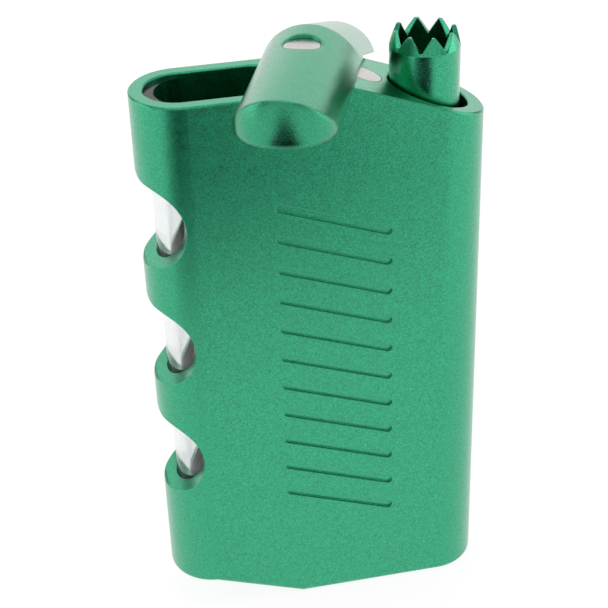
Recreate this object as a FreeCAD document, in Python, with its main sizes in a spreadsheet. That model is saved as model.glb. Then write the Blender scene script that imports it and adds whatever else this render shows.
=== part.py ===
import FreeCAD, Part

import math
import os

import Sketcher
from FreeCAD import Placement, Rotation, Vector

# A pocket case milled from one aluminium bar: a chamber under a swivel lid on the
# left, a bore with a spring-loaded toothed bat on the right, and three finger
# notches that open onto a clear liner. Millimetres. The origin is at the middle of
# the plan on the flat of the bottom, +X points to the bat, -Y is the front, +Z is up.

DRIVING_SIZES = [
    ("body_width", 60.4, "case, across its two round ends"),
    ("body_depth", 17.0, "case, front to back"),
    ("body_height", 105.6, "case, from the flat of the bottom to the flat of the top"),
    ("ridge_inset", 24.2, "where the top starts to slope down, from the right end of the case"),
    ("slope_angle", 20.0, "slope of the top beside the bat, degrees"),
    ("keel_x", 5.8, "how far left of the middle the bottom starts to rise"),
    ("keel_angle", 20.0, "rise of the bottom towards the notches, degrees"),
    ("foot_inset", 7.7, "level foot of the bottom, from the left end of the case"),
    ("bottom_round", 1.0, "rounding of the bottom edge"),
    ("rim_break", 0.25, "broken edge round the top, the chamber and the bore"),
    ("rim_wall", 2.45, "wall round the chamber"),
    ("chamber_floor", 12.0, "height of the chamber's floor"),
    ("pivot_web", 2.25, "metal left between the chamber and the pivot bore"),
    ("bat_bore_inset", 9.7, "middle of the bat's bore, from the end of the case"),
    ("bat_bore_radius", 6.85, "bat's bore"),
    ("bat_bore_floor", 4.0, "height of the bore's floor"),
    ("notch_radius", 8.15, "finger notch"),
    ("notch_depth", 6.95, "finger notch, from the end of the case"),
    ("notch_pitch", 24.0, "from one notch to the next"),
    ("notch_low_z", 34.8, "middle of the lowest notch"),
    ("notch_count", 3, "finger notches"),
    ("notch_lip", 1.2, "rounding of the lips between the notches"),
    ("groove_x", 2.0, "middle of the front grooves"),
    ("groove_low_z", 22.0, "middle of the lowest front groove"),
    ("groove_pitch", 6.0, "from one front groove to the next"),
    ("groove_count", 11, "front grooves"),
    ("groove_length", 20.0, "front groove, between its two round ends' middles"),
    ("groove_width", 1.5, "front groove"),
    ("groove_depth", 0.45, "front groove"),
    ("liner_play", 0.1, "between the liner and the chamber's end wall"),
    ("liner_crown", 1.6, "liner at its thickest, behind the notches"),
    ("liner_edge", 0.25, "difference of the liner's outer and inner radius"),
    ("liner_reach", 0.7, "how far the liner passes the middle of the chamber's round end"),
    ("liner_top_drop", 0.8, "liner below the rim"),
    ("lid_inset", 0.15, "lid inside the case's outline, all round"),
    ("lid_ridge_height", 7.5, "ridge of the lid above its base"),
    ("nose_dome_height", 17.5, "dome that draws in the lid's nose towards its ridge"),
    ("nose_dome_margin", 0.03, "dome wider than the lid, at its foot"),
    ("lid_gap", 0.3, "air between the lid and the flat top"),
    ("lid_open_angle", 69.0, "how far the lid stands open, degrees"),
    ("arm_roof_height", 6.0, "roof of the lid's sloped arm above the ridge"),
    ("arm_relief", 0.5, "extra air under the walls of the sloped arm"),
    ("arm_skin", 1.3, "wall of the sloped arm"),
    ("arm_boss_inset", 17.0, "where the arm stops being thick, from the right end of the case"),
    ("disc_x", 5.8, "lid disc, from the pivot towards the tip"),
    ("disc_drop", 0.7, "lid disc below the ridge of the lid"),
    ("magnet_radius", 3.0, "disc magnets"),
    ("magnet_height", 2.0, "disc magnets"),
    ("magnet_play", 0.12, "round each disc magnet"),
    ("slope_magnet_inset", 20.7, "slope magnet and arm magnet, from the right end of the case"),
    ("pin_radius", 1.5, "pivot pin"),
    ("pin_in_lid", 5.0, "pivot pin inside the lid"),
    ("pin_in_case", 14.0, "pivot pin below the flat top"),
    ("pin_end_play", 0.4, "under the pivot pin"),
    ("running_play", 0.05, "round the pivot pin in the case"),
    ("press_play", 0.01, "round the pivot pin in the lid"),
    ("pin_neck_radius", 1.0, "bottom of the pin's ring groove"),
    ("pin_neck_length", 2.0, "pin's ring groove"),
    ("screw_drop", 9.0, "set screw below the flat top"),
    ("screw_radius", 1.5, "set screw"),
    ("screw_play", 0.03, "round the set screw"),
    ("screw_tip_radius", 0.7, "set screw's tip in the ring groove"),
    ("screw_tip_play", 0.15, "between the set screw and the pin"),
    ("screw_sink", 0.6, "set screw's end below the back of the case"),
    ("screw_socket_radius", 0.85, "hexagon socket of the set screw, to its corners"),
    ("screw_socket_depth", 1.6, "hexagon socket of the set screw"),
    ("washer_radius", 2.9, "pivot washer"),
    ("washer_height", 0.8, "pivot washer"),
    ("washer_play", 0.05, "above and round the pivot washer"),
    ("bat_radius", 6.0, "bat"),
    ("bat_lean", 0.55, "how far the bat stands left of the middle of its bore"),
    ("bat_tip_z", 111.3, "height of the bat's teeth"),
    ("bat_length", 62.0, "bat"),
    ("bat_tip_taper", 0.7, "how far the crown draws in at its teeth"),
    ("bat_end_break", 0.8, "broken edge at the bat's lower end"),
    ("tooth_height", 2.8, "bat's teeth"),
    ("tooth_count", 8, "bat's teeth"),
    ("tooth_gap", 3.4, "width of the notch between two teeth at the tips"),
    ("bowl_radius", 4.7, "bat's bowl"),
    ("bowl_depth", 14.0, "bat's bowl"),
    ("draft_radius", 1.5, "hole down the bat"),
    ("spring_wire_radius", 0.45, "bat spring's wire"),
    ("spring_radius", 4.9, "bat spring at the middle of its wire"),
    ("spring_turns", 9, "bat spring"),
]

doc = FreeCAD.newDocument("pocket_case")
sheet = doc.addObject("Spreadsheet::Sheet", "sizes")


class Size:
    """A length or angle that knows its value and the formula that gives it."""

    def __init__(self, value, formula):
        self.value = float(value)
        self.formula = formula

    @staticmethod
    def of(thing):
        return thing if isinstance(thing, Size) else Size(thing, repr(float(thing)))

    def __add__(self, other):
        other = Size.of(other)
        return Size(self.value + other.value, f"({self.formula} + {other.formula})")

    def __sub__(self, other):
        other = Size.of(other)
        return Size(self.value - other.value, f"({self.formula} - {other.formula})")

    def __mul__(self, other):
        other = Size.of(other)
        return Size(self.value * other.value, f"({self.formula} * {other.formula})")

    def __truediv__(self, other):
        other = Size.of(other)
        return Size(self.value / other.value, f"({self.formula} / {other.formula})")

    def __neg__(self):
        return Size(-self.value, f"(0 - {self.formula})")

    def tan(self):
        return Size(math.tan(math.radians(self.value)), f"tan({self.formula})")

    def cos(self):
        return Size(math.cos(math.radians(self.value)), f"cos({self.formula})")

    def sin(self):
        return Size(math.sin(math.radians(self.value)), f"sin({self.formula})")


class SizeBook:
    """The driving sizes by name, as the sheet holds them."""


def fill_sheet():
    book = SizeBook()
    for row, (name, value, meaning) in enumerate(DRIVING_SIZES, start=1):
        sheet.set(f"A{row}", name)
        sheet.set(f"B{row}", str(value))
        sheet.set(f"C{row}", meaning)
        sheet.setAlias(f"B{row}", name)
        setattr(book, name, Size(value, f"sizes.{name}"))
    doc.recompute()
    return book


S = fill_sheet()

# Sizes that several pieces share, worked out from the driving sizes
HALF_WIDTH = S.body_width / 2
HALF_DEPTH = S.body_depth / 2
END_X = HALF_WIDTH - HALF_DEPTH
RIDGE_X = HALF_WIDTH - S.ridge_inset
SLOPE_MAGNET_X = HALF_WIDTH - S.slope_magnet_inset
ARM_BOSS_END = HALF_WIDTH - S.arm_boss_inset
SLOPE_FALL = S.slope_angle.tan()
FOOT_X = HALF_WIDTH - S.foot_inset
FOOT_RISE = (FOOT_X - S.keel_x) * S.keel_angle.tan()
CHAMBER_RADIUS = HALF_DEPTH - S.rim_wall
CHAMBER_LEFT_X = -END_X
CHAMBER_RIGHT_X = -(S.pin_radius + S.running_play + S.pivot_web + CHAMBER_RADIUS)
LID_RADIUS = HALF_DEPTH - S.lid_inset
LID_BASE_Z = S.body_height + S.lid_gap
RECESS_DEPTH = S.washer_height - S.lid_gap + S.washer_play
BAT_BORE_X = HALF_WIDTH - S.bat_bore_inset
BAT_X = BAT_BORE_X - S.bat_lean
BAT_END_Z = S.bat_tip_z - S.bat_length
SCREW_Z = S.body_height - S.screw_drop
# Long enough to pass right through the case from any of its sides
REACH = S.body_height + S.body_width


def bind(thing, field, size):
    """Give a field its value, and the formula that keeps it."""
    thing.setExpression(field, Size.of(size).formula)


def place(thing, x=0.0, y=0.0, z=0.0, axis=None, angle=0.0):
    """Put a piece at a place, turned about an axis, all tied to the sheet."""
    for letter, size in zip("xyz", (x, y, z)):
        bind(thing, f"Placement.Base.{letter}", size)
    if axis:
        thing.Placement = Placement(Vector(), Rotation(Vector(*axis), Size.of(angle).value))
        bind(thing, "Placement.Rotation.Angle", angle)


def new_body(name):
    body = doc.addObject("PartDesign::Body", name)
    body.Label = name
    return body


def origin_plane(body, role):
    for feature in body.Origin.OriginFeatures:
        if feature.Role == role:
            return feature
    raise ValueError(f"{body.Label} has no {role}")


def sketch_on(body, role, name, offset=0.0):
    """A sketch on one of the body's own planes, moved along the plane's normal."""
    sketch = body.newObject("Sketcher::SketchObject", name)
    sketch.AttachmentSupport = [(origin_plane(body, role), "")]
    sketch.MapMode = "FlatFace"
    bind(sketch, "AttachmentOffset.Base.z", offset)
    return sketch


def tie_point(sketch, geometry, point, x, y):
    """Hold a point of a sketch at a distance from the sketch's origin."""
    for kind, size in (("DistanceX", Size.of(x)), ("DistanceY", Size.of(y))):
        rule = sketch.addConstraint(Sketcher.Constraint(kind, -1, 1, geometry, point, size.value))
        bind(sketch, f"Constraints[{rule}]", size)


def tie_radius(sketch, geometry, size):
    rule = sketch.addConstraint(Sketcher.Constraint("Radius", geometry, size.value))
    bind(sketch, f"Constraints[{rule}]", size)


def add_circle(sketch, x, y, radius):
    centre = Vector(Size.of(x).value, Size.of(y).value, 0)
    circle = sketch.addGeometry(Part.Circle(centre, Vector(0, 0, 1), radius.value))
    tie_radius(sketch, circle, radius)
    tie_point(sketch, circle, 3, x, y)


def add_polygon(sketch, corners):
    points = [Vector(Size.of(x).value, Size.of(y).value, 0) for x, y in corners]
    lines = []
    for start, end in zip(points, points[1:] + points[:1]):
        lines.append(sketch.addGeometry(Part.LineSegment(start, end)))
    for line, following in zip(lines, lines[1:] + lines[:1]):
        sketch.addConstraint(Sketcher.Constraint("Coincident", line, 2, following, 1))
    for line, (x, y) in zip(lines, corners):
        tie_point(sketch, line, 1, x, y)


def arc_about(x, y, radius, start, end):
    circle = Part.Circle(Vector(x, y, 0), Vector(0, 0, 1), radius)
    return Part.ArcOfCircle(circle, math.radians(start), math.radians(end))


def join_smoothly(sketch, curves):
    """Make each curve run on into the next, the last into the first."""
    for curve, following in zip(curves, curves[1:] + curves[:1]):
        sketch.addConstraint(Sketcher.Constraint("Tangent", curve, 2, following, 1))


def add_stadium(sketch, left_x, right_x, radius):
    """A slot with round ends, lying along the sketch's X axis."""
    left, right, r = Size.of(left_x), Size.of(right_x), radius.value
    curves = [
        sketch.addGeometry(arc_about(left.value, 0, r, 90, 270)),
        sketch.addGeometry(Part.LineSegment(Vector(left.value, -r, 0), Vector(right.value, -r, 0))),
        sketch.addGeometry(arc_about(right.value, 0, r, -90, 90)),
        sketch.addGeometry(Part.LineSegment(Vector(right.value, r, 0), Vector(left.value, r, 0))),
    ]
    join_smoothly(sketch, curves)
    tie_radius(sketch, curves[0], radius)
    sketch.addConstraint(Sketcher.Constraint("Equal", curves[0], curves[2]))
    for arc, x in ((curves[0], left), (curves[2], right)):
        sketch.addConstraint(Sketcher.Constraint("PointOnObject", arc, 3, -1))
        rule = sketch.addConstraint(Sketcher.Constraint("DistanceX", -1, 1, arc, 3, x.value))
        bind(sketch, f"Constraints[{rule}]", x)


def pad(body, sketch, length):
    feature = body.newObject("PartDesign::Pad", sketch.Name + "_pad")
    feature.Profile = sketch
    bind(feature, "Length", length)
    doc.recompute()
    return feature


def cut(body, sketch, length=None, both_ways=False, backwards=False):
    """Cut a sketch out of the body: to a depth, or right through."""
    before = body.Shape.Volume
    feature = body.newObject("PartDesign::Pocket", sketch.Name + "_cut")
    feature.Profile = sketch
    feature.Reversed = backwards
    if both_ways:
        feature.SideType = "Symmetric"
    if length is None:
        feature.Type = "ThroughAll"
    else:
        bind(feature, "Length", length)
    doc.recompute()
    if body.Shape.Volume >= before - 1e-6:
        raise ValueError(f"{feature.Name} cuts nothing")
    return feature


def repeat(body, feature, direction, count, length):
    pattern = body.newObject("PartDesign::LinearPattern", feature.Name + "_row")
    pattern.Originals = [feature]
    pattern.Direction = direction
    bind(pattern, "Occurrences", count)
    bind(pattern, "Length", length)
    body.Tip = pattern
    doc.recompute()


def dress(body, kind, name, edges, field, size):
    """Round or break a list of edges of the body's last feature."""
    base = body.Tip
    feature = body.newObject(kind, name)
    feature.Base = (base, edges)
    bind(feature, field, size)
    body.Tip = feature
    doc.recompute()


def revolve(body, name, outline):
    """Turn an outline of radius and height once round the Z axis."""
    sketch = sketch_on(body, "XZ_Plane", name)
    add_polygon(sketch, outline)
    feature = body.newObject("PartDesign::Revolution", name + "_turned")
    feature.Profile = sketch
    feature.ReferenceAxis = (sketch, ["V_Axis"])
    doc.recompute()
    return feature


def primitive(kind, name, **sizes):
    solid = doc.addObject(kind, name)
    for field, size in sizes.items():
        bind(solid, field, size)
    return solid


def cylinder(name, radius, height):
    return primitive("Part::Cylinder", name, Radius=radius, Height=height)


def box(name, length, width, height):
    return primitive("Part::Box", name, Length=length, Width=width, Height=height)


def combine(kind, name, pieces):
    result = doc.addObject(kind, name)
    result.Shapes = pieces
    result.Refine = True
    return result


def subtract(name, base, tool):
    result = doc.addObject("Part::Cut", name)
    result.Base = base
    result.Tool = tool
    result.Refine = True
    return result


def cut_top_and_bottom(body):
    """Slope the top down to the right, and the bottom up to a level foot on the left."""
    top = sketch_on(body, "XZ_Plane", "top_slope")
    top_fall = (HALF_WIDTH - RIDGE_X) * SLOPE_FALL
    add_polygon(top, [
        (RIDGE_X, S.body_height),
        (HALF_WIDTH + RIDGE_X, S.body_height - top_fall - RIDGE_X * SLOPE_FALL),
        (HALF_WIDTH + RIDGE_X, S.body_height),
    ])
    cut(body, top, both_ways=True)
    bottom = sketch_on(body, "XZ_Plane", "bottom_slope")
    add_polygon(bottom, [
        (-S.keel_x, 0),
        (-(S.keel_x + HALF_WIDTH), 0),
        (-(S.keel_x + HALF_WIDTH), FOOT_RISE),
        (-FOOT_X, FOOT_RISE),
    ])
    cut(body, bottom, both_ways=True)


def round_bottom_edge(body):
    """Round the outline of the bottom, which lies on three planes."""
    rise = math.tan(math.radians(S.keel_angle.value))

    def on_bottom(point):
        wanted = min(max(0.0, (-S.keel_x.value - point.x) * rise), FOOT_RISE.value)
        return abs(point.z - wanted) < 1e-4

    edges = []
    for number, edge in enumerate(body.Shape.Edges, start=1):
        start, end = edge.ParameterRange
        points = [edge.valueAt(start + (end - start) * share) for share in (0.0, 0.3, 0.5, 0.8, 1.0)]
        crosses = abs(points[0].x - points[-1].x) < 1e-4 and abs(points[2].x - points[0].x) < 1e-4
        if all(on_bottom(point) for point in points) and not crosses:
            edges.append(f"Edge{number}")
    dress(body, "PartDesign::Fillet", "bottom_edge", edges, "Radius", S.bottom_round)


def break_top_edges(body):
    """Break the sharp edges round the top, the chamber's mouth and the bore's mouth."""
    fall = math.tan(math.radians(S.slope_angle.value))

    def on_top(point):
        wanted = S.body_height.value - max(0.0, (point.x - RIDGE_X.value) * fall)
        return abs(point.z - wanted) < 1e-4

    edges = []
    for number, edge in enumerate(body.Shape.Edges, start=1):
        start, end = edge.ParameterRange
        points = [edge.valueAt(start + (end - start) * share) for share in (0.0, 0.3, 0.5, 0.8, 1.0)]
        crosses = abs(points[0].x - points[-1].x) < 1e-4 and abs(points[2].x - points[0].x) < 1e-4
        if all(on_top(point) for point in points) and not crosses:
            edges.append(f"Edge{number}")
    dress(body, "PartDesign::Chamfer", "top_edges", edges, "Size", S.rim_break)


def cut_notches(body):
    """Finger notches in the left end, with lips rounded into the end of the case."""
    sketch = sketch_on(body, "XZ_Plane", "notch")
    lip_x = S.notch_lip - HALF_WIDTH
    notch_x = S.notch_depth - S.notch_radius - HALF_WIDTH
    reach = S.notch_radius + S.notch_lip
    across = (lip_x - notch_x).value
    lip_up = math.sqrt(reach.value ** 2 - across ** 2)
    lean = math.degrees(math.atan2(lip_up, across))
    low = S.notch_low_z.value
    end_x = -HALF_WIDTH.value
    outside_x = end_x - S.notch_lip.value
    lip = S.notch_lip.value
    hollow = arc_about(notch_x.value, low, S.notch_radius.value, -lean, lean)
    upper_lip = arc_about(lip_x.value, low + lip_up, lip, 180, 180 + lean)
    lower_lip = arc_about(lip_x.value, low - lip_up, lip, 180 - lean, 180)
    corners = [Vector(end_x, low + lip_up, 0), Vector(outside_x, low + lip_up, 0),
               Vector(outside_x, low - lip_up, 0), Vector(end_x, low - lip_up, 0)]
    middle = sketch.addGeometry(hollow)
    upper = sketch.addGeometry(upper_lip)
    lower = sketch.addGeometry(lower_lip)
    lines = [sketch.addGeometry(Part.LineSegment(a, b)) for a, b in zip(corners, corners[1:])]
    sketch.addConstraint(Sketcher.Constraint("Tangent", middle, 2, upper, 2))
    sketch.addConstraint(Sketcher.Constraint("Tangent", middle, 1, lower, 1))
    for line, following in zip(lines, lines[1:]):
        sketch.addConstraint(Sketcher.Constraint("Coincident", line, 2, following, 1))
    sketch.addConstraint(Sketcher.Constraint("Perpendicular", upper, 1, lines[0], 1))
    sketch.addConstraint(Sketcher.Constraint("Perpendicular", lower, 2, lines[2], 2))
    sketch.addConstraint(Sketcher.Constraint("Horizontal", lines[0]))
    sketch.addConstraint(Sketcher.Constraint("Horizontal", lines[2]))
    sketch.addConstraint(Sketcher.Constraint("Vertical", lines[1]))
    tie_radius(sketch, middle, S.notch_radius)
    tie_radius(sketch, upper, S.notch_lip)
    tie_radius(sketch, lower, S.notch_lip)
    tie_point(sketch, middle, 3, notch_x, S.notch_low_z)
    for geometry, point, x in ((upper, 3, lip_x), (lower, 3, lip_x),
                               (lines[1], 1, -(HALF_WIDTH + S.notch_lip))):
        rule = sketch.addConstraint(Sketcher.Constraint("DistanceX", -1, 1, geometry, point, x.value))
        bind(sketch, f"Constraints[{rule}]", x)
    notch = cut(body, sketch, both_ways=True)
    span = S.notch_pitch * (S.notch_count - 1)
    repeat(body, notch, (sketch, ["V_Axis"]), S.notch_count, span)


def cut_front_grooves(body):
    """A row of slanted grooves with round ends in the front."""
    sketch = sketch_on(body, "XZ_Plane", "front_groove", HALF_DEPTH)
    sketch.AttachmentOffset = Placement(Vector(), Rotation(Vector(0, 0, -1), S.slope_angle.value))
    bind(sketch, "AttachmentOffset.Base.x", S.groove_x)
    bind(sketch, "AttachmentOffset.Base.y", S.groove_low_z)
    bind(sketch, "AttachmentOffset.Rotation.Angle", S.slope_angle)
    half_length = S.groove_length / 2
    add_stadium(sketch, -half_length, half_length, S.groove_width / 2)
    groove = cut(body, sketch, S.groove_depth)
    span = S.groove_pitch * (S.groove_count - 1)
    repeat(body, groove, (origin_plane(body, "Z_Axis"), [""]), S.groove_count, span)


def make_case():
    """The milled case."""
    body = new_body("case")
    plan = sketch_on(body, "XY_Plane", "case_plan")
    add_stadium(plan, -END_X, END_X, HALF_DEPTH)
    pad(body, plan, S.body_height)
    cut_top_and_bottom(body)
    round_bottom_edge(body)
    chamber = sketch_on(body, "XY_Plane", "chamber", S.chamber_floor)
    add_stadium(chamber, CHAMBER_LEFT_X, CHAMBER_RIGHT_X, CHAMBER_RADIUS)
    cut(body, chamber, backwards=True)
    bore = sketch_on(body, "XY_Plane", "bat_bore", S.bat_bore_floor)
    add_circle(bore, BAT_BORE_X, 0, S.bat_bore_radius)
    cut(body, bore, backwards=True)
    break_top_edges(body)
    recess = sketch_on(body, "XY_Plane", "washer_recess", S.body_height)
    add_circle(recess, 0, 0, S.washer_radius + S.washer_play)
    cut(body, recess, RECESS_DEPTH)
    pivot = sketch_on(body, "XY_Plane", "pivot_bore", S.body_height)
    add_circle(pivot, 0, 0, S.pin_radius + S.running_play)
    cut(body, pivot, S.pin_in_case + S.pin_end_play)
    screw_hole = sketch_on(body, "XZ_Plane", "screw_hole")
    add_circle(screw_hole, 0, SCREW_Z, S.screw_radius + S.screw_play)
    cut(body, screw_hole)
    pocket = sketch_on(body, "XY_Plane", "magnet_pocket")
    bind(pocket, "AttachmentOffset.Base.x", SLOPE_MAGNET_X)
    bind(pocket, "AttachmentOffset.Base.z", slope_height(SLOPE_MAGNET_X))
    pocket.AttachmentOffset = Placement(Vector(), Rotation(Vector(0, 1, 0), S.slope_angle.value))
    bind(pocket, "AttachmentOffset.Rotation.Angle", S.slope_angle)
    add_circle(pocket, 0, 0, S.magnet_radius + S.magnet_play)
    cut(body, pocket, S.magnet_height)
    cut_notches(body)
    cut_front_grooves(body)
    return body


def slope_height(x):
    """Height of the sloped top at a place along the case."""
    return S.body_height - (x - RIDGE_X) * SLOPE_FALL


def make_window_liner():
    """The clear liner: a crescent that fills the chamber's round end."""
    height = S.body_height - S.liner_top_drop - S.chamber_floor
    outer_radius = CHAMBER_RADIUS - S.liner_play
    inner_radius = outer_radius - S.liner_edge
    shift = S.liner_crown - S.liner_edge
    outer = cylinder("liner_outside", outer_radius, height)
    place(outer, CHAMBER_LEFT_X, 0, S.chamber_floor)
    inner = cylinder("liner_inside", inner_radius, height)
    place(inner, CHAMBER_LEFT_X + shift, 0, S.chamber_floor)
    kept_end = box("liner_right_end", S.body_width, S.body_depth, height)
    place(kept_end, CHAMBER_LEFT_X + S.liner_reach, -HALF_DEPTH, S.chamber_floor)
    away = combine("Part::MultiFuse", "liner_away", [inner, kept_end])
    return subtract("window_liner", outer, away)


def lid_plan(name, radius):
    """A tall slab with round ends, as long and wide as the lid."""
    tall = S.body_width
    far_x = HALF_WIDTH - S.lid_inset - LID_RADIUS
    middle = box(name + "_middle", far_x * 2, radius * 2, tall)
    place(middle, -far_x, -radius, -(tall / 2))
    pieces = [middle]
    for side, x in (("tip", -far_x), ("arm", far_x)):
        end = cylinder(f"{name}_{side}_end", radius, tall)
        place(end, x, 0, -(tall / 2))
        pieces.append(end)
    return combine("Part::MultiFuse", name, pieces)


def arm_roof(name, skin):
    """A long round bar along the slope: its top is the roof of the sloped arm."""
    rise = S.arm_roof_height * S.slope_angle.cos()
    roof_radius = (LID_RADIUS * LID_RADIUS + rise * rise) / (rise * 2)
    axis_drop = roof_radius - rise
    bar = cylinder(name, roof_radius - skin, REACH * 2)
    along = REACH * S.slope_angle.cos()
    down = REACH * S.slope_angle.sin()
    lean_x = axis_drop * S.slope_angle.sin()
    lean_z = axis_drop * S.slope_angle.cos()
    place(bar, RIDGE_X - along - lean_x, 0, down - lean_z, (0, 1, 0), S.slope_angle + 90)
    return bar


def under_slope(name, vertex_x):
    """Everything below the sloped line that starts at a point of the lid's base."""
    block = box(name, REACH * 2, S.body_depth, REACH)
    back = REACH * S.slope_angle.cos() + REACH * S.slope_angle.sin()
    down = REACH * S.slope_angle.cos() - REACH * S.slope_angle.sin()
    place(block, vertex_x - back, -HALF_DEPTH, -down, (0, 1, 0), S.slope_angle)
    return block


def under_base(name, half_depth):
    """Everything below the plane of the lid's base."""
    block = box(name, REACH * 2, half_depth * 2, REACH)
    place(block, -REACH, -half_depth, -REACH)
    return block


def make_lid_outside():
    """The lid without its hollows: half round, with a lower roof along the sloped arm."""
    rise = S.lid_ridge_height
    ridge_radius = (LID_RADIUS * LID_RADIUS + rise * rise) / (rise * 2)
    ridge = cylinder("lid_ridge", ridge_radius, REACH)
    place(ridge, -(REACH / 2), 0, rise - ridge_radius, (0, 1, 0), 90)
    half_round = combine("Part::MultiFuse", "lid_half_round", [ridge, under_base("lid_walls", LID_RADIUS)])
    roof = arm_roof("lid_arm_roof", 0)
    roofed = combine("Part::MultiFuse", "lid_roofed", [roof, under_slope("lid_arm_walls", RIDGE_X)])
    plan = lid_plan("lid_plan", LID_RADIUS)
    return combine("Part::MultiCommon", "lid_outside", [plan, half_round, roofed])


def make_lid_base_cut():
    """What lies below the lid: level over the chamber, sloped beside the bat."""
    relief_x = RIDGE_X + S.arm_relief / SLOPE_FALL
    below = [under_base("lid_level_below", HALF_DEPTH), under_slope("lid_slope_below", relief_x)]
    return combine("Part::MultiCommon", "lid_base_cut", below)


def make_lid_hollow():
    """The hollow of the sloped arm: level under its boss, and elsewhere up to the roof's skin."""
    inner_plan = lid_plan("lid_hollow_plan", LID_RADIUS - S.arm_skin)
    boss_below = box("lid_boss_below", ARM_BOSS_END, S.body_depth, REACH)
    place(boss_below, 0, -HALF_DEPTH, -REACH)
    inner_roof = arm_roof("lid_hollow_roof", S.arm_skin)
    level = combine("Part::MultiCommon", "lid_level_hollow", [inner_plan, boss_below, inner_roof])
    past_boss = box("lid_past_boss", REACH, S.body_depth, REACH * 2)
    place(past_boss, ARM_BOSS_END, -HALF_DEPTH, -REACH)
    deep = combine("Part::MultiCommon", "lid_deep_hollow", [inner_plan, past_boss, inner_roof])
    return [level, deep]


def make_lid_nose_trim():
    """What lies outside the tall dome that the nose of the lid follows."""
    end_x = HALF_WIDTH - S.lid_inset - LID_RADIUS
    dome_radius = LID_RADIUS + S.nose_dome_margin
    dome = primitive("Part::Ellipsoid", "lid_nose_dome", Radius1=S.nose_dome_height, Radius2=dome_radius)
    place(dome, -end_x, 0, 0)
    block = box("lid_nose_block", S.body_depth, S.body_depth * 2, S.nose_dome_height)
    place(block, -(end_x + S.body_depth), -S.body_depth, -(S.lid_gap / 2))
    return subtract("lid_nose_trim", block, dome)


def make_lid_holes():
    """The holes for the pivot pin, the disc on the ridge and the magnet under the arm."""
    pin_hole = cylinder("lid_pin_hole", S.pin_radius + S.press_play, S.pin_in_lid + S.lid_gap)
    place(pin_hole, 0, 0, -S.lid_gap)
    seat_radius = S.magnet_radius + S.magnet_play
    disc_hole = cylinder("lid_disc_hole", seat_radius, S.magnet_height + LID_RADIUS)
    place(disc_hole, -S.disc_x, 0, S.lid_ridge_height - S.disc_drop - S.magnet_height)
    magnet_hole = cylinder("lid_magnet_hole", seat_radius, S.magnet_height + S.lid_gap)
    place(magnet_hole, SLOPE_MAGNET_X, 0, -S.lid_gap)
    return [pin_hole, disc_hole, magnet_hole]


def make_swivel_lid():
    """The lid, modelled shut about its pivot and then turned open."""
    tools = [make_lid_base_cut(), make_lid_nose_trim()] + make_lid_hollow() + make_lid_holes()
    away = combine("Part::MultiFuse", "lid_away", tools)
    lid = subtract("swivel_lid", make_lid_outside(), away)
    place(lid, 0, 0, LID_BASE_Z, (0, 0, 1), S.lid_open_angle)
    return lid


def make_disc(name, x, y, z):
    disc = cylinder(name, S.magnet_radius, S.magnet_height)
    place(disc, x, y, z)
    return disc


def make_lid_disc():
    """The silver disc on the ridge of the lid."""
    x = -(S.disc_x * S.lid_open_angle.cos())
    y = -(S.disc_x * S.lid_open_angle.sin())
    return make_disc("lid_disc", x, y, LID_BASE_Z + S.lid_ridge_height - S.disc_drop - S.magnet_height)


def make_arm_magnet():
    """The magnet under the sloped arm, which meets the slope magnet when the lid is shut."""
    x = SLOPE_MAGNET_X * S.lid_open_angle.cos()
    y = SLOPE_MAGNET_X * S.lid_open_angle.sin()
    return make_disc("arm_magnet", x, y, LID_BASE_Z)


def make_slope_magnet():
    """The magnet that lies flush in the sloped top."""
    disc = cylinder("slope_magnet", S.magnet_radius, S.magnet_height)
    x = SLOPE_MAGNET_X - S.magnet_height * S.slope_angle.sin()
    z = slope_height(SLOPE_MAGNET_X) - S.magnet_height * S.slope_angle.cos()
    place(disc, x, 0, z, (0, 1, 0), S.slope_angle)
    return disc


def make_pivot_pin():
    """The pin that the lid turns on, held down by its ring groove."""
    body = new_body("pivot_pin")
    foot = S.body_height - S.pin_in_case
    top = LID_BASE_Z + S.pin_in_lid
    neck_low = SCREW_Z - S.pin_neck_length / 2
    neck_high = SCREW_Z + S.pin_neck_length / 2
    revolve(body, "pin_outline", [
        (0, foot),
        (S.pin_radius, foot),
        (S.pin_radius, neck_low),
        (S.pin_neck_radius, neck_low),
        (S.pin_neck_radius, neck_high),
        (S.pin_radius, neck_high),
        (S.pin_radius, top),
        (0, top),
    ])
    return body


def make_pivot_washer():
    """The washer that keeps the lid off the case."""
    body = new_body("pivot_washer")
    ring = sketch_on(body, "XY_Plane", "washer_ring")
    add_circle(ring, 0, 0, S.washer_radius)
    add_circle(ring, 0, 0, S.pin_radius + S.running_play)
    pad(body, ring, S.washer_height)
    place(body, 0, 0, S.body_height - RECESS_DEPTH)
    return body


def make_pivot_screw():
    """The set screw at the back, whose tip stands in the pin's ring groove."""
    body = new_body("pivot_screw")
    tip_y = S.pin_neck_radius + S.screw_tip_play
    shoulder = S.pin_radius + S.running_play - S.pin_neck_radius
    length = HALF_DEPTH - S.screw_sink - tip_y
    revolve(body, "screw_outline", [
        (0, 0),
        (S.screw_tip_radius, 0),
        (S.screw_tip_radius, shoulder),
        (S.screw_radius, shoulder),
        (S.screw_radius, length),
        (0, length),
    ])
    socket = sketch_on(body, "XY_Plane", "screw_socket", length)
    sides = 6
    turns = [2 * math.pi * corner / sides for corner in range(sides)]
    add_polygon(socket, [(S.screw_socket_radius * math.cos(turn), S.screw_socket_radius * math.sin(turn))
                         for turn in turns])
    cut(body, socket, S.screw_socket_depth)
    place(body, 0, tip_y, SCREW_Z, (-1, 0, 0), 90)
    return body


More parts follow.
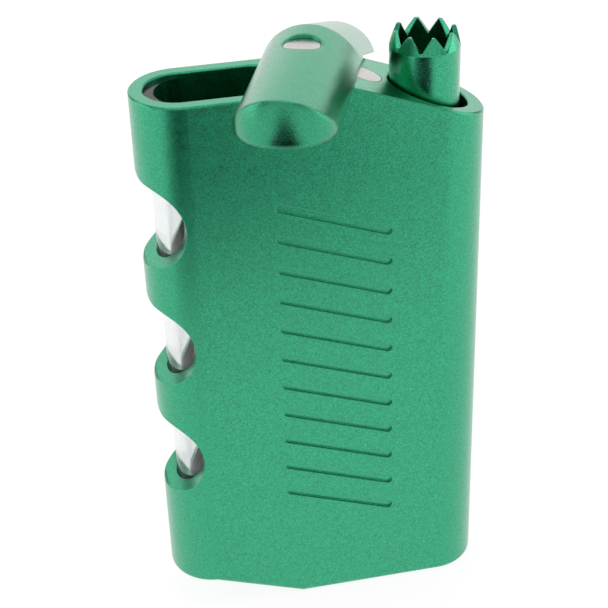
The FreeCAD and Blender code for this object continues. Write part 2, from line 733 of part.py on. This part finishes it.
def make_digger_bat():
    """The bat: a tube with a bowl at its top, and a crown of teeth cut into the bowl's wall."""
    body = new_body("digger_bat")
    length = S.bat_length
    crown_z = length - S.tooth_height
    bowl_z = length - S.bowl_depth
    revolve(body, "bat_outline", [
        (S.draft_radius, 0),
        (S.bat_radius - S.bat_end_break, 0),
        (S.bat_radius, S.bat_end_break),
        (S.bat_radius, crown_z),
        (S.bat_radius - S.bat_tip_taper, length),
        (S.bowl_radius, length),
        (S.bowl_radius, bowl_z),
        (S.draft_radius, bowl_z - (S.bowl_radius - S.draft_radius)),
    ])
    gap = sketch_on(body, "XZ_Plane", "tooth_gap_outline")
    # The notch is drawn twice as tall as a tooth, so that it is open at the top
    add_polygon(gap, [
        (0, crown_z),
        (S.tooth_gap, length + S.tooth_height),
        (-S.tooth_gap, length + S.tooth_height),
    ])
    notch = cut(body, gap)
    ring = body.newObject("PartDesign::PolarPattern", "tooth_gaps")
    ring.Originals = [notch]
    ring.Axis = (origin_plane(body, "Z_Axis"), [""])
    ring.Angle = 360
    bind(ring, "Occurrences", S.tooth_count)
    body.Tip = ring
    place(body, BAT_X, 0, BAT_END_Z, (0, 0, 1), Size.of(180) / S.tooth_count)
    doc.recompute()
    return body


def arc_from_tangents(start, corner, end):
    """The arc that leaves start for corner and comes from corner to end, both equally far."""
    half_turn = (corner - start).getAngle(end - corner) / 2
    weight = math.cos(half_turn)
    middle = (start + corner * (2 * weight) + end) * (1 / (2 + 2 * weight))
    return Part.Arc(start, middle, end).toShape()


def two_arcs(start, start_way, end, end_way):
    """Two arcs that join two points smoothly, each leaving along its own way."""
    across = end - start
    ways = start_way + end_way
    bend = 2 * (1 - start_way.dot(end_way))
    along = across.dot(ways)
    reach = (math.sqrt(along * along + bend * across.dot(across)) - along) / bend
    first_corner = start + start_way * reach
    second_corner = end - end_way * reach
    middle = (first_corner + second_corner) * 0.5
    return [arc_from_tangents(start, first_corner, middle), arc_from_tangents(middle, second_corner, end)]


def make_bat_spring():
    """The spring under the bat, one wire wound from the bore's floor to the bat's end."""
    wire = sheet.spring_wire_radius
    radius = sheet.spring_radius
    turns = sheet.spring_turns
    low = sheet.bat_bore_floor + wire
    high = sheet.bat_tip_z - sheet.bat_length - wire
    quarters = round(4 * turns)
    climb = (high - low) / (2 * math.pi * turns)

    def point(turn):
        return Vector(radius * math.cos(turn), radius * math.sin(turn), low + climb * turn)

    def way(turn):
        heading = Vector(-radius * math.sin(turn), radius * math.cos(turn), climb)
        return heading.normalize()

    step = 2 * math.pi * turns / quarters
    arcs = []
    for quarter in range(quarters):
        start, end = step * quarter, step * (quarter + 1)
        arcs += two_arcs(point(start), way(start), point(end), way(end))
    path = Part.Wire(arcs)
    section = Part.Wire(Part.Circle(point(0), way(0), wire).toShape())
    least_gap = min((point(turn) - point(turn + 2 * math.pi)).Length for turn in (0, math.pi)) - 2 * wire
    print(f"bat_spring: least gap between its turns {least_gap:.2f} mm")
    spring = doc.addObject("Part::Feature", "bat_spring")
    spring.Shape = path.makePipeShell([section], True, False)
    place(spring, BAT_X, 0, 0)
    return spring


def check_document(pieces):
    """Stop if any feature failed, or any piece is not one valid solid."""
    doc.recompute()
    for thing in doc.Objects:
        if {"Invalid", "Error"} & set(thing.State):
            raise ValueError(f"{thing.Name} failed: {thing.State}")
    for piece in pieces:
        shape = piece.Shape
        if shape.isNull() or not shape.isValid() or len(shape.Solids) != 1:
            raise ValueError(f"{piece.Label} is not one valid solid")


def write_parts(pieces):
    os.makedirs("parts", exist_ok=True)
    for piece in pieces:
        piece.Shape.exportStep(f"parts/{piece.Label}.step")
        print(f"{piece.Label}: {piece.Shape.Volume:.1f} mm3")


def main():
    pieces = [
        make_case(),
        make_window_liner(),
        make_swivel_lid(),
        make_lid_disc(),
        make_arm_magnet(),
        make_slope_magnet(),
        make_pivot_pin(),
        make_pivot_washer(),
        make_pivot_screw(),
        make_digger_bat(),
        make_bat_spring(),
    ]
    check_document(pieces)
    write_parts(pieces)


main()
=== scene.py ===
import math

import bpy
from mathutils import Matrix, Vector


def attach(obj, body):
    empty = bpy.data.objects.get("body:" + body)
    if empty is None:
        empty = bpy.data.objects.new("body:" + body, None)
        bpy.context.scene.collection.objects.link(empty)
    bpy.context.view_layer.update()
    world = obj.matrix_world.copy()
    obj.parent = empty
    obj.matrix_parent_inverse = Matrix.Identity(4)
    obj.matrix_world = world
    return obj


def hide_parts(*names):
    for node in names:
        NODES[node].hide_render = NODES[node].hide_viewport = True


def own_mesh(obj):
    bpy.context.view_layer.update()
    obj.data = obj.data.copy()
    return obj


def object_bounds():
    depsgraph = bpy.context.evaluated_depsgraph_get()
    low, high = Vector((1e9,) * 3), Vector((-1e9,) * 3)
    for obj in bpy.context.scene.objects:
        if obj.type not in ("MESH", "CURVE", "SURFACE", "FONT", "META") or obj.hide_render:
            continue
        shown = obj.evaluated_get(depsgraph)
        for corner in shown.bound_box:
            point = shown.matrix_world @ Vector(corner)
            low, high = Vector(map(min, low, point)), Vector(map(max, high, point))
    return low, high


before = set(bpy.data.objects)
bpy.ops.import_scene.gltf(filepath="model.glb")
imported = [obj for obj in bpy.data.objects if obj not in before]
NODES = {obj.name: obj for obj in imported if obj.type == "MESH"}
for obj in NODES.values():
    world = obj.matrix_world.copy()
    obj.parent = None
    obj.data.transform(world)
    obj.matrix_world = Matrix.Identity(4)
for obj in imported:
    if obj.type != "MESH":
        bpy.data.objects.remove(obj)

bl_info = {
    "name": "Pocket Case Finisher",
    "version": (1, 0, 0),
    "blender": (4, 5, 0),
    "location": "View3D > Sidebar > Pocket Case",
    "description": "Finishes a swivel-lid pocket case and sets up its studio",
    "category": "Object",
}

MM = 0.001
CAD_LOW, CAD_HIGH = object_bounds()
PHOTO_WIDTH_PX = 608
SENSOR_WIDTH_MM = 36.0
FLOOR_WIDTH = 6.0
# Nearly all of a noise pattern's values lie between these two
NOISE_LOW, NOISE_HIGH = 0.3, 0.7
# The name, the place, the width and height in metres, and the watts of each softbox
SOFTBOXES = (
    ("back_softbox", (0.1, 0.6, 0.4), (1.2, 0.7), 2.1),
    ("overhead_softbox", (0.0, 0.0, 0.7), (0.7, 0.5), 1.2),
    ("left_softbox", (-0.6, 0.1, 0.25), (0.5, 0.6), 1.2),
    ("right_softbox", (0.6, -0.1, 0.25), (0.5, 0.6), 1.2),
    ("front_softbox", (-0.1, -0.8, 0.4), (1.9, 0.7), 2.0),
)


def linear(hex_colour):
    """A colour written as sRGB hex, as linear red, green and blue."""
    channels = [int(hex_colour[place:place + 2], 16) / 255 for place in (1, 3, 5)]
    return tuple(c / 12.92 if c <= 0.04045 else ((c + 0.055) / 1.055) ** 2.4 for c in channels)


def add_node(tree, kind, inputs=None, **settings):
    """Add a shader node, with its settings, and link or set its inputs."""
    node = tree.nodes.new(kind)
    for name, value in settings.items():
        setattr(node, name, value)
    for name, value in (inputs or {}).items():
        if isinstance(value, bpy.types.NodeSocket):
            tree.links.new(value, node.inputs[name])
        else:
            node.inputs[name].default_value = value
    return node


def new_material(name):
    """An empty node material, and the tree to fill."""
    material = bpy.data.materials.new(name)
    material.use_nodes = True
    tree = material.node_tree
    tree.nodes.clear()
    return material, tree


def finish_material(tree, shader):
    """Lead a shader to the material's output."""
    add_node(tree, "ShaderNodeOutputMaterial", {"Surface": shader.outputs[0]})


def opaque(colour):
    """A linear colour with full cover."""
    return (*colour, 1.0)


class CaseColours(bpy.types.PropertyGroup):
    """The colours, grain and softened edges of the finishes."""

    anodise: bpy.props.FloatVectorProperty(
        name="Anodising", description="Green dye of the anodised case, lid and bat",
        subtype="COLOR", size=3, min=0, max=1, default=linear("#2abc8c"))
    anodise_deep: bpy.props.FloatVectorProperty(
        name="Deep anodising", description="Darker green where the dye took more strongly",
        subtype="COLOR", size=3, min=0, max=1, default=linear("#168960"))
    nickel: bpy.props.FloatVectorProperty(
        name="Nickel", description="Plating of the disc magnets",
        subtype="COLOR", size=3, min=0, max=1, default=linear("#ccc9c8"))
    steel: bpy.props.FloatVectorProperty(
        name="Steel", description="Pivot pin, set screw and spring",
        subtype="COLOR", size=3, min=0, max=1, default=linear("#a9abad"))
    acrylic: bpy.props.FloatVectorProperty(
        name="Acrylic", description="Clear liner behind the finger notches",
        subtype="COLOR", size=3, min=0, max=1, default=linear("#f2f5f5"))
    acetal: bpy.props.FloatVectorProperty(
        name="Acetal", description="Pivot washer",
        subtype="COLOR", size=3, min=0, max=1, default=linear("#e8e6e0"))
    blast_grain: bpy.props.FloatProperty(
        name="Blast grain", description="Width of the pits that bead blasting leaves",
        unit="LENGTH", default=0.2 * MM, min=0.05 * MM, max=2 * MM)
    milled_edge: bpy.props.FloatProperty(
        name="Milled edge", description="How far blasting rounds the edges of the case and the bat",
        unit="LENGTH", default=0.25 * MM, min=0.0, max=2 * MM)
    lid_edge: bpy.props.FloatProperty(
        name="Lid edge", description="How far tumbling rounds the edges of the lid",
        unit="LENGTH", default=1.1 * MM, min=0.0, max=2 * MM)
    blasted_roughness: bpy.props.FloatProperty(
        name="Blasted roughness", description="Roughness of the bead-blasted case",
        subtype="FACTOR", default=0.32, min=0.05, max=0.95)
    turned_roughness: bpy.props.FloatProperty(
        name="Turned roughness", description="Roughness of the tumbled lid and the turned bat",
        subtype="FACTOR", default=0.24, min=0.05, max=0.95)
    # Painted shade: darkens the lid's green all over, towards the deep green, to stand in for the dark
    # reflections on the lid
    lid_painted_shade: bpy.props.FloatProperty(
        name="Lid dye", description="How much more strongly the dye took on the lid than on the case",
        subtype="FACTOR", default=0.45, min=0.0, max=1.0)


class StudioSettings(bpy.types.PropertyGroup):
    """The camera and the backdrop."""

    camera_place: bpy.props.FloatVectorProperty(
        name="Camera", description="Where the camera stands",
        subtype="TRANSLATION", unit="LENGTH", size=3, default=(-46.73 * MM, -230.19 * MM, 204.59 * MM))
    camera_aim: bpy.props.FloatVectorProperty(
        name="Aim", description="The point in the middle of the picture",
        subtype="TRANSLATION", unit="LENGTH", size=3, default=(-2.11 * MM, 0.0, 60.86 * MM))
    camera_roll: bpy.props.FloatProperty(
        name="Roll", description="Turn of the camera about its own line of sight",
        subtype="ANGLE", default=math.radians(-1.94))
    focal_px: bpy.props.FloatProperty(
        name="Focal length in pixels", description="Focal length in pixels of a picture 608 pixels wide",
        default=1517.7, min=100.0)
    floor_colour: bpy.props.FloatVectorProperty(
        name="Floor", description="Floor and surroundings",
        subtype="COLOR", size=3, min=0, max=1, default=linear("#ffffff"))


def looks():
    """The scene's colours and grain."""
    return bpy.context.scene.pocket_case_colours


def studio():
    """The scene's camera and backdrop."""
    return bpy.context.scene.pocket_case_studio


def anodised_aluminium(name, edge_softness, roughness, dye=0.0):
    """Blasted, turned or tumbled aluminium with a green anodised layer."""
    # Fine even pits under a hard clear oxide make the metal shine broadly and sparkle a little
    # Real pits are too fine to show, so they are drawn several times as wide
    material, tree = new_material(name)
    colours = looks()
    cloud_width = 8 * colours.blast_grain
    pit_depth = 0.05 * MM
    roughness_swing = 0.03
    place = add_node(tree, "ShaderNodeTexCoord").outputs["Object"]
    pits = add_node(tree, "ShaderNodeTexNoise", {
        "Vector": place, "Scale": 1 / colours.blast_grain, "Detail": 1.0, "Roughness": 0.6})
    cloud = add_node(tree, "ShaderNodeTexNoise", {
        "Vector": place, "Scale": 1 / cloud_width, "Detail": 2.0})
    # A dye above nought holds back the light green and darkens the metal all over; the lid gets this as a
    # painted shade for its dark reflections
    tone = add_node(tree, "ShaderNodeMapRange", {
        "Value": pits.outputs["Fac"], "From Min": NOISE_LOW, "From Max": NOISE_HIGH, "To Max": 1.0 - dye})
    green = add_node(tree, "ShaderNodeMix", {
        "Factor": tone.outputs["Result"], "A": opaque(colours.anodise_deep), "B": opaque(colours.anodise)},
        data_type="RGBA")
    shine = add_node(tree, "ShaderNodeMapRange", {
        "Value": cloud.outputs["Fac"], "From Min": NOISE_LOW, "From Max": NOISE_HIGH,
        "To Min": roughness - roughness_swing, "To Max": roughness + roughness_swing})
    edge = add_node(tree, "ShaderNodeBevel", {"Radius": edge_softness}, samples=6)
    bump = add_node(tree, "ShaderNodeBump", {
        "Height": pits.outputs["Fac"], "Strength": 0.4, "Distance": pit_depth, "Normal": edge.outputs[0]})
    shader = add_node(tree, "ShaderNodeBsdfPrincipled", {
        "Base Color": green.outputs["Result"], "Metallic": 1.0, "Roughness": shine.outputs["Result"],
        "Normal": bump.outputs["Normal"], "Coat Weight": 0.6, "Coat Roughness": 0.25, "Coat IOR": 1.65,
        "Coat Normal": bump.outputs["Normal"]})
    finish_material(tree, shader)
    return material


def nickel_plate():
    """Satin nickel plating on the disc magnets."""
    # A plated disc is nearly white, with faint scuffs
    material, tree = new_material("nickel plate, satin")
    colours = looks()
    place = add_node(tree, "ShaderNodeTexCoord").outputs["Object"]
    scuff_width, scuff_depth = 0.4 * MM, 0.02 * MM
    scuffs = add_node(tree, "ShaderNodeTexNoise", {"Vector": place, "Scale": 1 / scuff_width, "Detail": 3.0})
    shine = add_node(tree, "ShaderNodeMapRange", {
        "Value": scuffs.outputs["Fac"], "From Min": NOISE_LOW, "From Max": NOISE_HIGH,
        "To Min": 0.22, "To Max": 0.4})
    bump = add_node(tree, "ShaderNodeBump", {
        "Height": scuffs.outputs["Fac"], "Strength": 0.1, "Distance": scuff_depth})
    shader = add_node(tree, "ShaderNodeBsdfPrincipled", {
        "Base Color": opaque(colours.nickel), "Metallic": 1.0, "Roughness": shine.outputs["Result"],
        "Normal": bump.outputs["Normal"]})
    finish_material(tree, shader)
    return material


def plain_steel():
    """Drawn and turned steel of the pivot and the spring."""
    # Drawn wire and turned pins are grey with a fine even sheen
    name = "plain steel, drawn"
    if name in bpy.data.materials:
        return bpy.data.materials[name]
    material, tree = new_material(name)
    colours = looks()
    place = add_node(tree, "ShaderNodeTexCoord").outputs["Object"]
    mark_width = 0.25 * MM
    marks = add_node(tree, "ShaderNodeTexNoise", {"Vector": place, "Scale": 1 / mark_width, "Detail": 2.0})
    shine = add_node(tree, "ShaderNodeMapRange", {
        "Value": marks.outputs["Fac"], "From Min": NOISE_LOW, "From Max": NOISE_HIGH,
        "To Min": 0.25, "To Max": 0.42})
    shader = add_node(tree, "ShaderNodeBsdfPrincipled", {
        "Base Color": opaque(colours.steel), "Metallic": 1.0, "Roughness": shine.outputs["Result"]})
    finish_material(tree, shader)
    return material


def clear_acrylic():
    """Polished clear acrylic of the liner."""
    # Clear plastic shows bright edges and what lies behind it
    material, tree = new_material("clear acrylic, polished")
    colours = looks()
    place = add_node(tree, "ShaderNodeTexCoord").outputs["Object"]
    haze_width = 1.5 * MM
    haze = add_node(tree, "ShaderNodeTexNoise", {"Vector": place, "Scale": 1 / haze_width, "Detail": 2.0})
    shine = add_node(tree, "ShaderNodeMapRange", {
        "Value": haze.outputs["Fac"], "From Min": NOISE_LOW, "From Max": NOISE_HIGH,
        "To Min": 0.03, "To Max": 0.1})
    shader = add_node(tree, "ShaderNodeBsdfPrincipled", {
        "Base Color": opaque(colours.acrylic), "Roughness": shine.outputs["Result"], "IOR": 1.49,
        "Transmission Weight": 1.0})
    finish_material(tree, shader)
    return material


def white_acetal():
    """Moulded acetal of the pivot washer."""
    # A moulded plastic, slightly waxy
    material, tree = new_material("white acetal, moulded")
    colours = looks()
    place = add_node(tree, "ShaderNodeTexCoord").outputs["Object"]
    mould_width, mould_depth = 0.3 * MM, 0.02 * MM
    mould = add_node(tree, "ShaderNodeTexNoise", {"Vector": place, "Scale": 1 / mould_width, "Detail": 2.0})
    bump = add_node(tree, "ShaderNodeBump", {
        "Height": mould.outputs["Fac"], "Strength": 0.15, "Distance": mould_depth})
    shader = add_node(tree, "ShaderNodeBsdfPrincipled", {
        "Base Color": opaque(colours.acetal), "Roughness": 0.45, "Normal": bump.outputs["Normal"]})
    finish_material(tree, shader)
    return material


def dress(node_names, material):
    """Give CAD nodes a finish."""
    for name in node_names:
        slots = NODES[name].data.materials
        slots.clear()
        slots.append(material)


class POCKETCASE_OT_case(bpy.types.Operator):
    """Finish the milled case, the lid and the bat"""

    bl_idname = "pocket_case.case"
    bl_label = "Finish Case, Lid and Bat"

    def execute(self, context):
        finish = looks()
        blasted = anodised_aluminium(
            "green anodised aluminium, bead-blasted", finish.milled_edge, finish.blasted_roughness)
        turned = anodised_aluminium(
            "green anodised aluminium, turned", finish.milled_edge, finish.turned_roughness)
        # The lid's copy is painted darker than the case: a painted shade for its dark reflections, on top of
        # its tumbled finish
        tumbled_and_shaded = anodised_aluminium(
            "green anodised aluminium, tumbled", finish.lid_edge, finish.turned_roughness, dye=finish.lid_painted_shade)
        dress(["case"], blasted)
        dress(["digger_bat"], turned)
        dress(["swivel_lid"], tumbled_and_shaded)
        return {"FINISHED"}


class POCKETCASE_OT_discs(bpy.types.Operator):
    """Finish the disc magnets"""

    bl_idname = "pocket_case.discs"
    bl_label = "Finish Disc Magnets"

    def execute(self, context):
        dress(["lid_disc", "arm_magnet", "slope_magnet"], nickel_plate())
        return {"FINISHED"}


class POCKETCASE_OT_pivot(bpy.types.Operator):
    """Finish the pivot pin, its washer and its set screw"""

    bl_idname = "pocket_case.pivot"
    bl_label = "Finish Pivot"

    def execute(self, context):
        dress(["pivot_pin", "pivot_screw"], plain_steel())
        dress(["pivot_washer"], white_acetal())
        return {"FINISHED"}


class POCKETCASE_OT_liner(bpy.types.Operator):
    """Finish the clear liner"""

    bl_idname = "pocket_case.liner"
    bl_label = "Finish Liner"

    def execute(self, context):
        dress(["window_liner"], clear_acrylic())
        return {"FINISHED"}


class POCKETCASE_OT_spring(bpy.types.Operator):
    """Smooth the bat's spring, which shortens as the bat sinks, and attach it at one length to the case"""

    bl_idname = "pocket_case.spring"
    bl_label = "Wind Bat Spring"

    def execute(self, context):
        merge_distance = 0.001 * MM
        smooth_angle = math.radians(40)
        bpy.ops.object.select_all(action="DESELECT")
        source = NODES["bat_spring"]
        spring = bpy.data.objects.new("wound_bat_spring", source.data.copy())
        context.scene.collection.objects.link(spring)
        spring.select_set(True)
        context.view_layer.objects.active = spring
        bpy.ops.object.mode_set(mode="EDIT")
        bpy.ops.mesh.select_all(action="SELECT")
        bpy.ops.mesh.remove_doubles(threshold=merge_distance)
        bpy.ops.object.mode_set(mode="OBJECT")
        bpy.ops.object.shade_smooth_by_angle(angle=smooth_angle)
        spring.data.materials.clear()
        spring.data.materials.append(plain_steel())
        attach(spring, "case")
        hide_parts("bat_spring")
        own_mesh(spring)
        return {"FINISHED"}


def soft_floor():
    """A white floor that shows as white and keeps a pale shadow."""
    material, tree = new_material("white studio floor, matt")
    white = opaque(studio().floor_colour)
    glow_share, glow_strength = 0.85, 1.06
    path = add_node(tree, "ShaderNodeLightPath")
    seen = path.outputs["Is Camera Ray"]
    for other in ("Is Glossy Ray", "Is Transmission Ray"):
        either = add_node(tree, "ShaderNodeMath", {0: seen, 1: path.outputs[other]}, operation="MAXIMUM")
        seen = either.outputs[0]
    share = add_node(tree, "ShaderNodeMath", {0: seen, 1: glow_share}, operation="MULTIPLY")
    matt = add_node(tree, "ShaderNodeBsdfDiffuse", {"Color": white})
    glow = add_node(tree, "ShaderNodeEmission", {"Color": white, "Strength": glow_strength})
    shader = add_node(tree, "ShaderNodeMixShader", {
        0: share.outputs[0], 1: matt.outputs[0], 2: glow.outputs[0]})
    finish_material(tree, shader)
    return material


def add_plane(name, width, material):
    """A level square in the middle of the studio."""
    bpy.ops.object.select_all(action="DESELECT")
    bpy.ops.mesh.primitive_plane_add(size=width, location=(0, 0, 0))
    plane = bpy.context.object
    plane.name = name
    plane.data.materials.append(material)
    return plane


def make_floor():
    """The floor that the object stands on."""
    floor = add_plane("studio_floor", FLOOR_WIDTH, soft_floor())


def make_world():
    """White surroundings that light the object evenly."""
    world = bpy.data.worlds.new("white studio")
    bpy.context.scene.world = world
    world.use_nodes = True
    tree = world.node_tree
    tree.nodes.clear()
    light_strength, seen_strength = 0.3, 1.0
    path = add_node(tree, "ShaderNodeLightPath")
    strength = add_node(tree, "ShaderNodeMapRange", {
        "Value": path.outputs["Is Camera Ray"], "To Min": light_strength, "To Max": seen_strength})
    glow = add_node(tree, "ShaderNodeBackground", {
        "Color": opaque(studio().floor_colour), "Strength": strength.outputs["Result"]})
    add_node(tree, "ShaderNodeOutputWorld", {"Surface": glow.outputs[0]})


def add_softbox(name, place, aim, size, watts):
    """A soft rectangular lamp that points at the object."""
    light = bpy.data.lights.new(name, "AREA")
    light.shape = "RECTANGLE"
    light.size, light.size_y = size
    light.energy = watts
    lamp = bpy.data.objects.new(name, light)
    lamp.location = place
    lamp.rotation_euler = (Vector(aim) - Vector(place)).to_track_quat("-Z", "Y").to_euler()
    lamp.visible_camera = False
    bpy.context.scene.collection.objects.link(lamp)


def make_lamps():
    """Softboxes all round and above, aimed at the middle of the object."""
    middle = (CAD_LOW + CAD_HIGH) / 2
    for name, place, size, watts in SOFTBOXES:
        add_softbox(name, place, middle, size, watts)


def make_floor_card():
    """A black card on the floor, out of view, that gives the metal its dark reflections."""
    width, length = 240 * MM, 560 * MM
    turn = math.radians(-15)
    black = opaque(linear("#050505"))
    material, tree = new_material("black card, matt")
    finish_material(tree, add_node(tree, "ShaderNodeBsdfDiffuse", {"Color": black}))
    card = add_plane("floor_card", 1.0, material)
    card.scale = (width, length, 1.0)
    card.rotation_euler = (0.0, 0.0, turn)
    card.location = (-112 * MM, -412 * MM, 1 * MM)
    card.visible_camera = False
    card.visible_shadow = False
    card.visible_diffuse = False


def make_camera():
    """A camera at the place and roll that the settings give."""
    settings = studio()
    place, aim = Vector(settings.camera_place), Vector(settings.camera_aim)
    back = (place - aim).normalized()
    right = Vector((0, 0, 1)).cross(back).normalized()
    up = back.cross(right)
    roll = settings.camera_roll
    turned_right = right * math.cos(roll) + up * math.sin(roll)
    turned_up = up * math.cos(roll) - right * math.sin(roll)
    data = bpy.data.cameras.new("product_camera")
    data.sensor_width = SENSOR_WIDTH_MM
    data.lens = settings.focal_px * SENSOR_WIDTH_MM / PHOTO_WIDTH_PX
    data.clip_start = 0.01
    data.clip_end = 20.0
    camera = bpy.data.objects.new("product_camera", data)
    turn = Matrix((turned_right, turned_up, back)).transposed().to_4x4()
    camera.matrix_world = Matrix.Translation(place) @ turn
    bpy.context.scene.collection.objects.link(camera)
    bpy.context.scene.camera = camera


class POCKETCASE_OT_stage(bpy.types.Operator):
    """Set up the floor, the surroundings, the lamps and the camera"""

    bl_idname = "pocket_case.stage"
    bl_label = "Set Up Studio"

    def execute(self, context):
        context.scene.view_settings.view_transform = "Standard"
        make_floor()
        make_world()
        make_lamps()
        make_floor_card()
        make_camera()
        return {"FINISHED"}


class POCKETCASE_PT_panel(bpy.types.Panel):
    """The steps that finish the pocket case"""

    bl_idname = "POCKETCASE_PT_panel"
    bl_label = "Pocket Case"
    bl_space_type = "VIEW_3D"
    bl_region_type = "UI"
    bl_category = "Pocket Case"

    def draw(self, context):
        for operator in OPERATORS:
            self.layout.operator(operator.bl_idname)


OPERATORS = (
    POCKETCASE_OT_case,
    POCKETCASE_OT_discs,
    POCKETCASE_OT_pivot,
    POCKETCASE_OT_liner,
    POCKETCASE_OT_spring,
    POCKETCASE_OT_stage,
)
CLASSES = (CaseColours, StudioSettings) + OPERATORS + (POCKETCASE_PT_panel,)


def register():
    for item in CLASSES:
        bpy.utils.register_class(item)
    bpy.types.Scene.pocket_case_colours = bpy.props.PointerProperty(type=CaseColours)
    bpy.types.Scene.pocket_case_studio = bpy.props.PointerProperty(type=StudioSettings)


def unregister():
    del bpy.types.Scene.pocket_case_studio
    del bpy.types.Scene.pocket_case_colours
    for item in reversed(CLASSES):
        bpy.utils.unregister_class(item)


def main():
    register()
    bpy.ops.pocket_case.case()
    bpy.ops.pocket_case.discs()
    bpy.ops.pocket_case.pivot()
    bpy.ops.pocket_case.liner()
    bpy.ops.pocket_case.spring()
    bpy.ops.pocket_case.stage()


if __name__ == "__main__":
    main()
